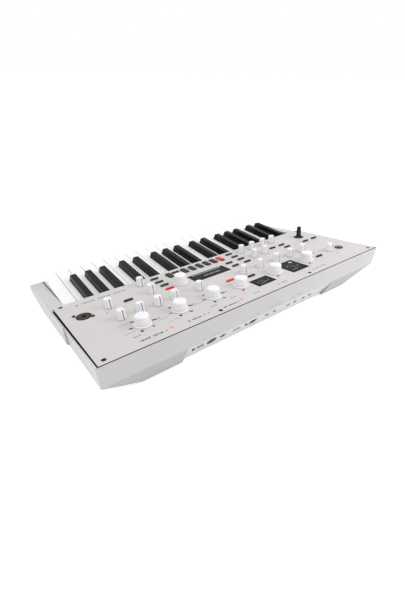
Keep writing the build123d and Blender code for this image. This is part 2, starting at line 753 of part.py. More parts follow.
with BuildPart() as pots_and_switches:
    with BuildSketch(panel_plane(BOARD_TOP)):
        with Locations(*on_deck(list(SMALL_KNOBS.values()) + list(BIG_KNOBS.values()))):
            Rectangle(11, 12)
    extrude(amount=6.9)
    with BuildSketch(panel_plane(BOARD_TOP)):
        with Locations(*on_deck(PILL_BUTTONS + CATEGORY_BUTTONS)):
            Rectangle(6, 6)
    extrude(amount=5.2)
    # The joystick's frame hangs under the panel and carries the gimbal's two end pins.
    with BuildSketch(panel_plane(-PANEL_T - 14)):
        with Locations(*on_deck([STICK_AT])):
            Rectangle(50, 50)
            Rectangle(44, 44, mode=Mode.SUBTRACT)
    extrude(amount=14)
    with BuildSketch(Plane(origin=stick_pivot, z_dir=(1, 0, 0)).offset(-26)):
        Circle(STICK_PIN_R + RUNNING)
    extrude(amount=52, mode=Mode.SUBTRACT)
finish(pots_and_switches, "pots_and_switches")

with BuildPart() as display_modules:
    with BuildSketch(panel_plane(BOARD_TOP)):
        for place, size in WINDOWS:
            with Locations(*on_deck([place])):
                Rectangle(size[0] - 4, size[1] - 3)
    extrude(amount=-BOARD_TOP - PANEL_T - 0.2)
finish(display_modules, "display_modules")

with BuildPart() as display_windows:
    with BuildSketch(panel_plane(-PANEL_T)):
        for place, size in WINDOWS:
            with Locations(*on_deck([place])):
                RectangleRounded(size[0] - 0.1, size[1] - 0.1, 0.95)
    extrude(amount=PANEL_T + 0.15)
finish(display_windows, "display_windows")

with BuildPart() as panel_leds:
    with BuildSketch(panel_plane(-PANEL_T - 4)):
        with Locations(*on_deck(LEDS)):
            Circle(LED_R - 0.02)
    extrude(amount=PANEL_T + 4.4)
finish(panel_leds, "panel_leds")

with BuildPart() as main_board:
    # The processor board on the floor, with its main chips and the heat spreader.
    bar(-190, 150, 50, 128, 10, 10 + BOARD_T)
    chips = ((-60, 90, 27, 2.2), (-10, 95, 18, 2.0), (60, 85, 14, 2.0), (105, 95, 10, 9.0))
    for x, y, width, height in chips:
        bar(x, x + width, y, y + width, 10 + BOARD_T, 10 + BOARD_T + height)
    for x in (-184, 144):
        for y in (56, 122):
            with Locations((x, y, (FLOOR_Z + WALL + 10) / 2)):
                Cylinder(3, 10 - FLOOR_Z - WALL)
    # The socket board closes off the backs of the rear sockets.
    with BuildSketch(jack_plane(-WALL - 0.2 - SOCKET_DEPTH)):
        with Locations((16, SOCKET_DOWN)):
            Rectangle(264, 20)
    extrude(amount=-BOARD_T)
finish(main_board, "main_board")


# ---------------------------------------------------------------- sockets
with BuildPart() as rear_sockets:
    with BuildSketch(jack_plane(-WALL - 0.1)):
        with Locations(*[(x, SOCKET_DOWN) for x in JACKS_X]):
            Rectangle(15, 14)
        with Locations((DIN_X, SOCKET_DOWN)):
            Rectangle(18, 17)
        with Locations((DC_X, SOCKET_DOWN)):
            Rectangle(12, 12)
        with Locations((CARD_X, SOCKET_DOWN)):
            Rectangle(16, 5)
        with Locations((USB_X, SOCKET_DOWN)):
            Rectangle(14, 13)
        with Locations(*[(x, SOCKET_DOWN) for x in BAY_SCREWS_X]):
            Circle(3)
    extrude(amount=-SOCKET_DEPTH)
    with BuildSketch(jack_plane(-WALL - 0.1)):
        with Locations(*[(x, SOCKET_DOWN) for x in BAY_SCREWS_X]):
            Circle(SCREW_R + RUNNING)
    extrude(amount=-8, mode=Mode.SUBTRACT)
    with BuildSketch(jack_plane(-WALL - 0.1)):
        with Locations(*[(x, SOCKET_DOWN) for x in JACKS_X]):
            Circle(JACK_COLLAR_R)
        with Locations((DIN_X, SOCKET_DOWN)):
            Circle(DIN_R)
        with Locations((DC_X, SOCKET_DOWN)):
            Circle(DC_R)
        with Locations((CARD_X, SOCKET_DOWN)):
            Rectangle(13, 3)
        with Locations((USB_X, SOCKET_DOWN)):
            Rectangle(12, 11)
    extrude(amount=WALL + 0.6)
    with BuildSketch(jack_plane(0.5)):
        with Locations(*[(x, SOCKET_DOWN) for x in JACKS_X]):
            Circle(JACK_BORE_R)
    extrude(amount=-JACK_BORE_L, mode=Mode.SUBTRACT)
    with BuildSketch(jack_plane(0.5)):
        # Round socket with five pins, barrel inlet with its pin, card slot and square data socket.
        with Locations((DIN_X, SOCKET_DOWN)):
            with PolarLocations(4.2, 5, start_angle=0, angular_range=180, endpoint=True):
                Circle(0.8)
        with Locations((DC_X, SOCKET_DOWN)):
            Circle(3.1)
            Circle(1.0, mode=Mode.SUBTRACT)
        with Locations((CARD_X, SOCKET_DOWN)):
            Rectangle(11.4, 1.0)
        with Locations((USB_X, SOCKET_DOWN)):
            Rectangle(8.6, 8.0)
            Rectangle(5.8, 3.2, mode=Mode.SUBTRACT)
    extrude(amount=-10, mode=Mode.SUBTRACT)
finish(rear_sockets, "rear_sockets")

with BuildPart() as panel_sockets:
    # Combined microphone socket: three pin holes round a jack bore. Beside it its two screws.
    with BuildSketch(panel_plane(-MIC_BORE_L - 2)):
        with Locations(*on_deck([MIC_AT])):
            Circle(MIC_R)
    extrude(amount=MIC_BORE_L + 2.4)
    with BuildSketch(panel_plane(-PANEL_T - 2.1)):
        with Locations(*on_deck([MIC_AT])):
            Rectangle(19, 31)
            Circle(MIC_R + 3.5)
    extrude(amount=2)
    with BuildSketch(panel_plane(0.4)):
        with Locations(*on_deck([MIC_AT])):
            Circle(JACK_BORE_R)
    extrude(amount=-MIC_BORE_L, mode=Mode.SUBTRACT)
    with BuildSketch(panel_plane(0.4)):
        with Locations(*on_deck([MIC_AT])):
            with PolarLocations(7.2, 3, start_angle=30):
                Circle(1.4)
            Circle(MIC_R - 0.9)
            Circle(MIC_R - 1.7, mode=Mode.SUBTRACT)
    extrude(amount=-6, mode=Mode.SUBTRACT)
    with BuildSketch(panel_plane(0.01)):
        with Locations(*[(MIC_AT[0] + x, -MIC_AT[1] + y) for x, y in MIC_EARS]):
            Circle(2.4)
    extrude(amount=1.4)
    with BuildSketch(panel_plane(0.01)):
        with Locations(*[(MIC_AT[0] + x, -MIC_AT[1] + y) for x, y in MIC_EARS]):
            Circle(SCREW_R - 0.05)
    extrude(amount=-PANEL_T)
    # Headphone socket with its round nut.
    with BuildSketch(panel_plane(-JACK_BORE_L - 1)):
        with Locations(*on_deck([PHONES_AT])):
            Rectangle(15, 15)
    extrude(amount=JACK_BORE_L + 1 - PANEL_T - 0.1)
    with BuildSketch(panel_plane(-PANEL_T - 0.1)):
        with Locations(*on_deck([PHONES_AT])):
            Circle(5.5)
    extrude(amount=PANEL_T + 0.2)
    with BuildSketch(panel_plane(0.01)):
        with Locations(*on_deck([PHONES_AT])):
            Circle(7.6)
    extrude(amount=1.6, taper=12)
    with BuildSketch(panel_plane(0.61)):
        with Locations(*on_deck([PHONES_AT])):
            Circle(5.0)
    extrude(amount=1.5, mode=Mode.SUBTRACT)
    with BuildSketch(panel_plane(0.61)):
        with Locations(*on_deck([PHONES_AT])):
            Circle(JACK_BORE_R)
    extrude(amount=-JACK_BORE_L, mode=Mode.SUBTRACT)
finish(panel_sockets, "panel_sockets")

# ---------------------------------------------------------------- joystick
GIMBAL_IN = 16.4
GIMBAL_OUT = 19.0
GIMBAL_HALF = 1.9
deck = panel_plane()
pivot_level = Plane(origin=stick_pivot, x_dir=deck.x_dir, z_dir=deck.z_dir)
across_x = Plane(origin=stick_pivot, z_dir=deck.x_dir)
across_y = Plane(origin=stick_pivot, z_dir=deck.y_dir)

with BuildPart() as joystick:
    # A dome that closes the panel's hole at every tilt, on a cross pin, with a ribbed grip.
    with BuildSketch(Plane(origin=stick_pivot, x_dir=deck.x_dir, z_dir=-deck.y_dir)):
        with BuildLine():
            outer = CenterArc((0, 0), STICK_DOME_R, 12, 78)
            inner = CenterArc((0, 0), STICK_DOME_R - 1.5, 12, 78)
            Line(outer @ 0, inner @ 0)
            Line(outer @ 1, inner @ 1)
        make_face()
    revolve(axis=Axis(stick_pivot, deck.z_dir))
    with BuildSketch(pivot_level.offset(-3)):
        Circle(3)
    extrude(amount=STICK_DOME_R + 4)
    with BuildSketch(pivot_level.offset(STICK_DOME_R - 0.4)):
        Circle(4.9)
    extrude(amount=19.0, taper=1.5)
    with BuildSketch(pivot_level.offset(STICK_DOME_R + 2)):
        with PolarLocations(5.0, 12):
            Circle(0.55)
    extrude(amount=15, mode=Mode.SUBTRACT)
    with BuildSketch(across_y.offset(-GIMBAL_OUT)):
        Circle(STICK_PIN_R)
    extrude(amount=2 * GIMBAL_OUT)
finish(joystick, "joystick")

with BuildPart() as joystick_gimbal:
    with BuildSketch(pivot_level.offset(-GIMBAL_HALF)):
        Circle(GIMBAL_OUT)
        Circle(GIMBAL_IN, mode=Mode.SUBTRACT)
    extrude(amount=2 * GIMBAL_HALF)
    with BuildSketch(across_y.offset(-30)):
        Circle(STICK_PIN_R + RUNNING)
    extrude(amount=60, mode=Mode.SUBTRACT)
    with BuildSketch(across_x.offset(GIMBAL_IN + 1)):
        Circle(STICK_PIN_R)
    extrude(amount=7)
    with BuildSketch(across_x.offset(-GIMBAL_IN - 1)):
        Circle(STICK_PIN_R)
    extrude(amount=-7)
finish(joystick_gimbal, "joystick_gimbal")
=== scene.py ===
"""Looks of a compact 37-key synthesizer seen from behind its treble end.

The order is: materials, soft edges, printed marks, displays, knob pointers, stage, camera.
Places on the panel are (x, down) in millimetres: along the panel, and down from its rear edge.
"""

import json
import math

import bmesh
import bpy
from mathutils import Matrix, Vector


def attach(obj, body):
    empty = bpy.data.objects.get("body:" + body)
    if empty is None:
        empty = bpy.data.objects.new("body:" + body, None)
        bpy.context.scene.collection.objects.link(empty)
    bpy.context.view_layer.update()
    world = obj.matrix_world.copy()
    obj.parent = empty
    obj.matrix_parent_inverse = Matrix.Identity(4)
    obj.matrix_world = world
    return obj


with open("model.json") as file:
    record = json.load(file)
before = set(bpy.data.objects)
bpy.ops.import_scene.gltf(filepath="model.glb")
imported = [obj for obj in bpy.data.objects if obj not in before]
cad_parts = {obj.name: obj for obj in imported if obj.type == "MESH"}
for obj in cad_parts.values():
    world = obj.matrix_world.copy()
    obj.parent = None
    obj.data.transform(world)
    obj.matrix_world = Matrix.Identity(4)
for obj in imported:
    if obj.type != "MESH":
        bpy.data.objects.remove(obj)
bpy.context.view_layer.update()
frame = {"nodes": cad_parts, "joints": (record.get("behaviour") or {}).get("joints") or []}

nodes = frame["nodes"]
scene = bpy.context.scene

# ---------------------------------------------------------------- the panel's plane, in millimetres
MM = 0.001
TILT = math.radians(8.4)
SLOPE = Vector((0, math.cos(TILT), math.sin(TILT)))
NORMAL = Vector((0, -math.sin(TILT), math.cos(TILT)))
PANEL_ORIGIN = Vector((0, 167.0, 75.0))
PANEL_SIDE = 278.05  # just inside the outer faces of the panel's folded sides

# The case: its rear face, the slope of its rim from rear to front, and the plane of the undercut rear.
CASE_REAR = 169.0
CASE_HALF = 280.0
RIM_REAR_Z = 75.3
RIM_FRONT_Z = 16.0
CHEEK_X = 255.0
BAY_OUT = Vector((0, 0.872, -0.489))
BAY_OFFSET = 127.1
NEAR = 0.3  # how close to a plane a face's centre lies when the face is in it


def deck(x, down, height=0.0):
    """The place x along the panel and down from its rear edge, height above it."""
    return (PANEL_ORIGIN + Vector((x, 0, 0)) - SLOPE * down + NORMAL * height) * MM


def deck_place(point):
    """The (x, down, height) of a point in the row frame, in millimetres."""
    offset = point / MM - PANEL_ORIGIN
    return offset.x, -offset.dot(SLOPE), offset.dot(NORMAL)


def knob_places(ending):
    """The (x, down) of each knob whose name has this ending, from its joint in the frame."""
    return {
        joint["child"]: deck_place(Vector(joint["pos_m"]))[:2]
        for joint in frame["joints"]
        if joint["child"].endswith(ending)
    }


SMALL_KNOBS = knob_places("_knob")
SELECTORS = knob_places("_selector")

# ---------------------------------------------------------------- materials
GLOSS_SPREAD = 0.04
RELIEF_DEPTH = 0.06 * MM


def material(name, colour, roughness, **options):
    """A moulded or painted surface: fine grain in its colour, gloss and relief."""
    grain = options.get("grain", 1400.0)
    m = bpy.data.materials.new(name)
    m.use_nodes = True
    tree = m.node_tree
    shader = tree.nodes["Principled BSDF"]
    shader.inputs["Metallic"].default_value = options.get("metallic", 0.0)
    shader.inputs["Coat Weight"].default_value = options.get("coat", 0.0)
    shader.inputs["Coat Roughness"].default_value = 0.1
    shader.inputs["Specular IOR Level"].default_value = options.get("specular", 0.5)
    shader.inputs["IOR"].default_value = options.get("ior", 1.45)
    place = tree.nodes.new("ShaderNodeTexCoord")
    fine = tree.nodes.new("ShaderNodeTexNoise")
    fine.inputs["Scale"].default_value = grain
    fine.inputs["Detail"].default_value = 3.0
    broad = tree.nodes.new("ShaderNodeTexNoise")
    broad.inputs["Scale"].default_value = options.get("broad", 14.0)
    broad.inputs["Detail"].default_value = 4.0
    tree.links.new(place.outputs["Object"], fine.inputs["Vector"])
    tree.links.new(place.outputs["Object"], broad.inputs["Vector"])
    tint = tree.nodes.new("ShaderNodeValToRGB")
    spread = options.get("spread", 0.02)
    tint.color_ramp.elements[0].position = 0.3
    tint.color_ramp.elements[1].position = 0.7
    tint.color_ramp.elements[0].color = (*[c * (1 - spread) for c in colour], 1)
    tint.color_ramp.elements[1].color = (*[min(1, c * (1 + spread)) for c in colour], 1)
    tree.links.new(broad.outputs["Fac"], tint.inputs["Fac"])
    tree.links.new(tint.outputs["Color"], shader.inputs["Base Color"])
    gloss = tree.nodes.new("ShaderNodeMapRange")
    gloss.inputs["To Min"].default_value = roughness - GLOSS_SPREAD
    gloss.inputs["To Max"].default_value = roughness + GLOSS_SPREAD
    tree.links.new(fine.outputs["Fac"], gloss.inputs["Value"])
    tree.links.new(gloss.outputs["Result"], shader.inputs["Roughness"])
    relief = tree.nodes.new("ShaderNodeBump")
    relief.inputs["Strength"].default_value = options.get("relief", 0.12)
    relief.inputs["Distance"].default_value = RELIEF_DEPTH
    tree.links.new(fine.outputs["Fac"], relief.inputs["Height"])
    tree.links.new(relief.outputs["Normal"], shader.inputs["Normal"])
    if "glow" in options:
        shader.inputs["Emission Color"].default_value = (*options["glow"], 1)
        shader.inputs["Emission Strength"].default_value = options.get("glow_strength", 1.0)
    return m


case_paint = material("case_moulding", (0.425, 0.415, 0.425), 0.34, relief=0.2, specular=0.3)
# Painted light: a lighter copy of the case moulding for the upward-facing rim, standing in for the light
# that falls on it.
rim_painted_light = material("case_rim_painted_light", (0.55, 0.54, 0.55), 0.34, relief=0.2, specular=0.3)
# Painted shade: a darker copy of the case moulding for the lower case, standing in for the shade on its
# facet.
pan_painted_shade = material("pan_moulding_painted_shade", (0.33, 0.32, 0.325), 0.5, relief=0.2, specular=0.3)
panel_paint = material("panel_paint", (0.56, 0.54, 0.535), 0.46, grain=2200.0, specular=0.35)
# Painted shade: a near-black paint that stands in for the shadow along the panel's edges and in the gap
# behind it.
painted_edge_shade = material("painted_edge_shade", (0.012, 0.012, 0.012), 0.55, specular=0.2)
white_key = material("white_key_gloss", (0.88, 0.86, 0.885), 0.22, coat=0.2, relief=0.02, spread=0.01)
black_key = material("black_key_satin", (0.005, 0.005, 0.006), 0.28, relief=0.06, spread=0.1, ior=1.22)
knob_white = material("knob_white", (0.79, 0.78, 0.81), 0.42, relief=0.1, spread=0.01, specular=0.35)
pointer_ink = material("pointer_line", (0.07, 0.07, 0.075), 0.6, specular=0.2)
button_dark = material("button_rubber", (0.032, 0.028, 0.028), 0.55, relief=0.15, spread=0.06, ior=1.3)
button_lit = material("button_lit", (0.50, 0.012, 0.02), 0.4, glow=(0.7, 0.01, 0.018), glow_strength=0.18)
glass = material("window_black", (0.004, 0.004, 0.005), 0.2, relief=0.0, spread=0.1, ior=1.12)
display_light = material("display_light", (0.16, 0.16, 0.16), 0.5, glow=(0.5, 0.52, 0.53),
                         glow_strength=0.6, ior=1.1)
display_grey = material("display_grey", (0.022, 0.023, 0.024), 0.4, ior=1.12)
led_red = material("led_red", (0.62, 0.02, 0.02), 0.4, glow=(1.0, 0.02, 0.02),
                   glow_strength=0.25, specular=0.2)
led_pink = material("led_pink", (0.75, 0.14, 0.16), 0.4, glow=(1.0, 0.2, 0.25),
                    glow_strength=0.3, specular=0.2)
led_dark = material("led_dark", (0.30, 0.01, 0.03), 0.3)
socket_black = material("socket_black", (0.02, 0.019, 0.018), 0.5, relief=0.15, spread=0.08, ior=1.3)
socket_face = material("socket_face", (0.03, 0.025, 0.021), 0.5, relief=0.15, spread=0.08, ior=1.3)
socket_grey = material("socket_metal", (0.10, 0.10, 0.10), 0.35, metallic=0.8)
socket_ring = material("socket_ring", (0.50, 0.50, 0.50), 0.45)
screw_black = material("screw_black", (0.035, 0.035, 0.04), 0.42, metallic=0.5)
steel = material("ground_steel", (0.55, 0.55, 0.56), 0.3, metallic=1.0)
inner_plastic = material("inner_frame", (0.05, 0.05, 0.055), 0.55)
board_green = material("circuit_board", (0.008, 0.05, 0.022), 0.4, spread=0.15, broad=160.0)
rubber_black = material("foot_rubber", (0.02, 0.02, 0.02), 0.75, relief=0.3)
ink = material("print_dark", (0.03, 0.03, 0.03), 0.6, specular=0.2)
ink_pale = material("print_grey", (0.24, 0.235, 0.23), 0.6, specular=0.2)
ink_red = material("print_red", (0.75, 0.33, 0.33), 0.6, specular=0.2)

PLAIN = {
    "upper_case": case_paint,
    # The lower case takes the darker copy of the case moulding as painted shade.
    "lower_case": pan_painted_shade,
    "top_panel": panel_paint,
    "case_screws": screw_black,
    "rubber_feet": rubber_black,
    "keybed_frame": inner_plastic,
    "key_pivot_rod": steel,
    "key_contact_board": board_green,
    "control_board": board_green,
    "pots_and_switches": socket_black,
    "main_board": board_green,
    "rear_sockets": socket_black,
    "panel_sockets": socket_black,
    "display_modules": socket_black,
    "display_windows": glass,
    "panel_leds": led_red,
    "category_buttons": button_dark,
    "panel_buttons": button_dark,
    # The power button takes the lower case's painted shade too.
    "power_button": pan_painted_shade,
    "joystick": socket_black,
    "joystick_gimbal": inner_plastic,
}


def node_material(name):
    """The material that a whole node takes."""
    if name.startswith("white_keys"):
        return white_key
    if name.startswith("black_keys"):
        return black_key
    return PLAIN.get(name, knob_white)


def soften(obj, width):
    """Round off the sharp edges slightly, so that they catch the light."""
    weld = obj.modifiers.new("weld", "WELD")
    weld.merge_threshold = 0.002 * MM
    bevel = obj.modifiers.new("bevel", "BEVEL")
    bevel.width = width * MM
    bevel.segments = 2
    bevel.limit_method = "ANGLE"
    bevel.angle_limit = math.radians(40)
    bevel.harden_normals = True
    bevel.use_clamp_overlap = True


for name, node in nodes.items():
    node.data.materials.clear()
    node.data.materials.append(node_material(name))

EDGE_WIDTHS = {"upper_case": 0.5, "lower_case": 0.5, "rubber_feet": 0.4}
for name, node in nodes.items():
    if name.startswith("white_keys"):
        soften(node, 0.5)
    elif name in EDGE_WIDTHS:
        soften(node, EDGE_WIDTHS[name])


def recolour(node, new_material, chosen):
    """Give a second material to the faces whose centre is chosen."""
    node.data.materials.append(new_material)
    index = len(node.data.materials) - 1
    for face in node.data.polygons:
        if chosen(face.center):
            face.material_index = index


def near_deck(places, reach):
    """Tells whether a point is within reach of one of the panel places."""
    def chosen(point):
        x, down, _ = deck_place(point)
        return any(abs(x - a) < reach and abs(down - b) < reach for a, b in places)
    return chosen


def near_face(x, down, reach, top=9.0):
    """Tells whether a point lies on a control's outer face, no higher than top."""
    def chosen(point):
        a, b, height = deck_place(point)
        return math.hypot(a - x, b - down) < reach and 0.3 < height < top
    return chosen


def panel_border(point):
    """Tells whether a point lies on the panel's folded sides or on its rear edge, which are painted
    near-black as shade.
    """
    return abs(point.x / MM) > PANEL_SIDE or point.y / MM > PANEL_ORIGIN.y + 0.02


def behind_panel(point):
    """Tells whether a point lies in the gap behind the panel or on top of the case's thin lip there, which
    are painted near-black as shadow.
    """
    x, y, z = point / MM
    return CASE_REAR - 0.9 < y < CASE_REAR - 0.1 and z > PANEL_ORIGIN.z - 15 and abs(x) < CASE_HALF


def on_rim(point):
    """Tells whether a point lies on the sloping top of the side walls and cheeks, which is painted lighter
    than the case as painted light.
    """
    x, y, z = point / MM
    rim = RIM_FRONT_Z + (RIM_REAR_Z - RIM_FRONT_Z) * (y + CASE_REAR) / (2 * CASE_REAR)
    return abs(z - rim) < NEAR and abs(x) > CHEEK_X


def on_bay(point):
    """Tells whether a point lies on the undercut rear face, where the sockets are and where lighter paint
    stands in for light.
    """
    return abs(point.dot(BAY_OUT) / MM - BAY_OFFSET) < NEAR


JACKS_X = (0.0, -17.5, -50.0, -67.5, -88.5, -105.5)
JACK_REACH = 4.6
JACK_FRONT = 156.5
INLET_X = 91.0
CARD_X = 63.5


def on_collar(point):
    """Tells whether a point lies on the collar of one of the rear jacks."""
    x, y, _ = point / MM
    return any(abs(x - jack) < JACK_REACH for jack in JACKS_X) and y > JACK_FRONT


def on_metal_socket(point):
    """Tells whether a point lies on the power inlet or on the card slot."""
    x = point.x / MM
    return abs(x - INLET_X) < 7.0 or abs(x - CARD_X) < 7.5


MICROPHONE_AT = (250.0, 129.0)
HEADPHONES_AT = (-233.5, 48.5)
LIT_BUTTONS = [(109.3, 122.2), (20.0, 77.0)]
LIT_CATEGORY = [(-32.0, 168.5)]
PINK_LEDS = [(171.0, 16.5), (52.0, 13.7)]
UNLIT_LED = [(-175.0, 63.0)]

recolour(nodes["panel_buttons"], button_lit, near_deck(LIT_BUTTONS, 9.5))
recolour(nodes["category_buttons"], button_lit, near_deck(LIT_CATEGORY, 8))
recolour(nodes["panel_leds"], led_pink, near_deck(PINK_LEDS, 3))
recolour(nodes["panel_leds"], led_dark, near_deck(UNLIT_LED, 3))
# Painted shade: the panel's folded sides and rear edge, and the case's lip behind the panel, are painted
# near-black for the shadow lines there.
recolour(nodes["top_panel"], painted_edge_shade, panel_border)
recolour(nodes["upper_case"], painted_edge_shade, behind_panel)
# Painted light: the tops of the side walls and cheeks are painted lighter than the rest of the case.
recolour(nodes["upper_case"], rim_painted_light, on_rim)
# Painted light: the undercut rear face, which faces down, takes the upper case's lighter paint in place of
# the lower case's painted shade.
recolour(nodes["lower_case"], case_paint, on_bay)
recolour(nodes["panel_sockets"], socket_face, near_face(*MICROPHONE_AT, 9.3))
recolour(nodes["panel_sockets"], socket_ring, near_face(*HEADPHONES_AT, 5.1, 1.0))
recolour(nodes["rear_sockets"], socket_grey, on_metal_socket)
recolour(nodes["rear_sockets"], case_paint, on_collar)


# ---------------------------------------------------------------- small pieces of their own
def add_mesh(name, bm, mat, body):
    """Turn a bmesh into a piece that rides on a body."""
    mesh = bpy.data.meshes.new(name)
    bm.to_mesh(mesh)
    bm.free()
    mesh.materials.append(mat)
    obj = bpy.data.objects.new(name, mesh)
    scene.collection.objects.link(obj)
    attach(obj, body)


def plate(bm, corners, up, thickness):
    """A thin closed plate over the given corners, in metres."""
    low = [bm.verts.new(c) for c in corners]
    high = [bm.verts.new(Vector(c) + up * thickness * MM) for c in corners]
    bm.faces.new(list(reversed(low)))
    bm.faces.new(high)
    for i in range(len(corners)):
        j = (i + 1) % len(corners)
        bm.faces.new([low[i], low[j], high[j], high[i]])


PRINT_H = 0.01
PRINT_T = 0.04


def mark(bm, x, down, width, depth, angle=0.0, height=PRINT_H):
    """A small printed rectangle on the panel, turned by angle in degrees."""
    turn = math.radians(angle)
    across = Vector((math.cos(turn), 0, 0)) + SLOPE * math.sin(turn)
    along = -math.sin(turn) * Vector((1, 0, 0)) + SLOPE * math.cos(turn)
    centre = deck(x, down, height)
    corners = [
        centre + (across * sx * width / 2 + along * sy * depth / 2) * MM
        for sx, sy in ((-1, -1), (1, -1), (1, 1), (-1, 1))
    ]
    plate(bm, corners, NORMAL, PRINT_T)


def disc(bm, x, down, radius, height=PRINT_H):
    """A printed dot on the panel."""
    centre = deck(x, down, height)
    corners = []
    for i in range(16):
        turn = 2 * math.pi * i / 16
        corners.append(centre + (Vector((1, 0, 0)) * math.cos(turn) + SLOPE * math.sin(turn)) * radius * MM)
    plate(bm, corners, NORMAL, PRINT_T)


def label(bm, x, down, width, depth):
    """A printed label stood in for by a row of plain blocks, every third of them taller."""
    pitch = depth * 0.8
    count = int(width / pitch)
    for i in range(count):
        if i % 6 == 5:
            continue
        at = x + (i - (count - 1) / 2) * pitch
        tall = depth * (0.95 if i % 3 == 0 else 0.65)
        mark(bm, at, down, pitch * 0.62, tall)


def zigzag(bm, x, down, size):
    """A small wave sign of three strokes."""
    for i, lean in enumerate((50, -50, 50)):
        mark(bm, x + (i - 1) * size * 0.5, down, size, 0.8, lean)


dark = bmesh.new()
pale = bmesh.new()
red = bmesh.new()

# Scales round the small knobs: eleven short strokes over 300 degrees, and a label in front.
SCALE_R = 9.0
for x, down in SMALL_KNOBS.values():
    for turn_degrees in range(-60, 241, 30):
        turn = math.radians(turn_degrees)
        stroke_at = (x + SCALE_R * math.cos(turn), down - SCALE_R * math.sin(turn))
        mark(pale, *stroke_at, 1.4, 0.35, turn_degrees)
    label(pale, x, down + 12.5, 13.0, 2.6)

# Round each selector: a dot at its first position, signs at the others, and lines out to their labels.
# Where an effect selector has a light at one of its positions, that position has no sign.
LIGHT_TURNS = {"voice_effect_selector": 120, "delay_type_selector": 0, "modulation_selector": -60}
SIGN_R = 17.6
FIRST_TURN = 60
WAVE_TURN = 180
for name, (x, down) in SELECTORS.items():
    for turn_degrees in (-60, 0, 60, 120, 180):
        if LIGHT_TURNS.get(name) == turn_degrees:
            continue
        turn = math.radians(turn_degrees)
        sign_x, sign_down = x + SIGN_R * math.cos(turn), down - SIGN_R * math.sin(turn)
        if turn_degrees == FIRST_TURN:
            disc(dark, sign_x, sign_down, 2.3)
        elif name not in LIGHT_TURNS:
            mark(pale, sign_x, sign_down, 2.8, 1.0, turn_degrees)
        elif turn_degrees == WAVE_TURN:
            mark(dark, sign_x, sign_down, 6.5, 3.0, -20)
            zigzag(dark, sign_x - 6.5, sign_down, 3.6)
        else:
            mark(dark, sign_x, sign_down, 5.0, 3.0, -20)
LEADERS = [(220, 41, 18), (214, 67, 17), (166, 45, 18), (159, 31, 19), (106, 47, 19), (49, 43, 8)]
for x, down, length in LEADERS:
    mark(pale, x, down, length, 0.8, 4)

# Labels as (x, down, width). The widest stands in front of the microphone socket.
DARK_LABELS = [(202, 14.0, 36), (136, 13.5, 23), (76, 11.0, 27)]
GREY_LABELS = [
    (20, 14.5, 12), (-34, 12.5, 22), (-126, 13.0, 38),
    (216, 27, 12), (94, 26, 13), (57, 27, 11), (-206, 33, 10), (-233.5, 62, 12),
]
RED_LABELS = [(-193.5, 124.0, 13), (-77.0, 174.0, 12), (-158.0, 180.0, 26)]
WIDE_LABEL = (207, 171.5, 86)
DARK_DOTS = [(180.0, 14.0), (119.8, 14.2), (112.7, 13.4), (61.0, 11.0), (220.4, 115.8), (-164.6, 87.5)]
GREY_DOTS = [(-160.0, 30.3), (-168.0, 30.3), (-175.0, 30.3)]
BUTTON_LABELS = [
    (-59.5, 166.5), (-59.5, 148.5), (-30.5, 148.5), (109.3, 165.4), (109.3, 148.1), (109.3, 130.8),
    (66.5, 180.5), (179.0, 137.5), (-145.5, 147.0), (-171.5, 132.0), (-224.0, 115.0), (-251.0, 115.5),
    (-169.5, 39.5),
]
CATEGORY_X = [81.5, 50.0, 33.6, 17.2, 0.8, -15.6, -32.0]
for place in DARK_LABELS:
    label(dark, *place, 3.8)
for place in GREY_LABELS:
    label(pale, *place, 3.4)
for place in RED_LABELS:
    label(red, *place, 2.8)
label(pale, *WIDE_LABEL, 5.5)
for place in DARK_DOTS:
    disc(dark, *place, 1.1)
for place in GREY_DOTS:
    disc(pale, *place, 0.9)
for place in BUTTON_LABELS:
    label(pale, *place, 9, 1.1)
for x in CATEGORY_X:
    label(pale, x, 154.5, 8, 1.1)
add_mesh("panel_print_dark", dark, ink, "case")
add_mesh("panel_print_grey", pale, ink_pale, "case")
add_mesh("panel_print_red", red, ink_red, "case")

# Rows of dashes over the rear sockets, on the upright band, as (x, width, z). Two rows stand over pairs.
BACK = Vector((0, 1, 0))
DASH_PITCH = 2.2
DASH_W = 1.5
DASH_H = 1.0
JACK_ROWS = [(x, 7, 45.0) for x in sorted(JACKS_X)]
PAIR_ROWS = [(-9, 30, 48.5), (-59, 30, 48.5)]
OTHER_ROWS = [(30.5, 8, 45.0), (56, 9, 45.0), (INLET_X, 8, 45.0), (111.5, 16, 45.0), (132, 8, 45.0)]
rear_print = bmesh.new()
for x, width, z in JACK_ROWS + PAIR_ROWS + OTHER_ROWS:
    for i in range(int(width / DASH_PITCH)):
        left = x - width / 2 + DASH_PITCH * i
        right = left + DASH_W
        low, high = z - DASH_H / 2, z + DASH_H / 2
        outline = ((right, low), (left, low), (left, high), (right, high))
        plate(rear_print, [Vector((a, CASE_REAR, b)) * MM for a, b in outline], BACK, 0.02)
add_mesh("socket_labels", rear_print, ink_pale, "case")

# ---------------------------------------------------------------- displays
GLASS_H = 0.16
LIT_H = GLASS_H + 0.05
lit = bmesh.new()
dim = bmesh.new()
# The wide window: a dim field, a light bar along its front and a row of blocks.
mark(dim, 25.0, 127.5, 64.0, 16.0, height=GLASS_H)
mark(lit, 25.0, 136.8, 62.0, 1.8, height=LIT_H)
for i in range(8):
    x = 36.0 - i * 4.4
    mark(lit, x, 124.6, 2.6, 3.6 if i % 3 == 0 else 2.4, height=LIT_H)
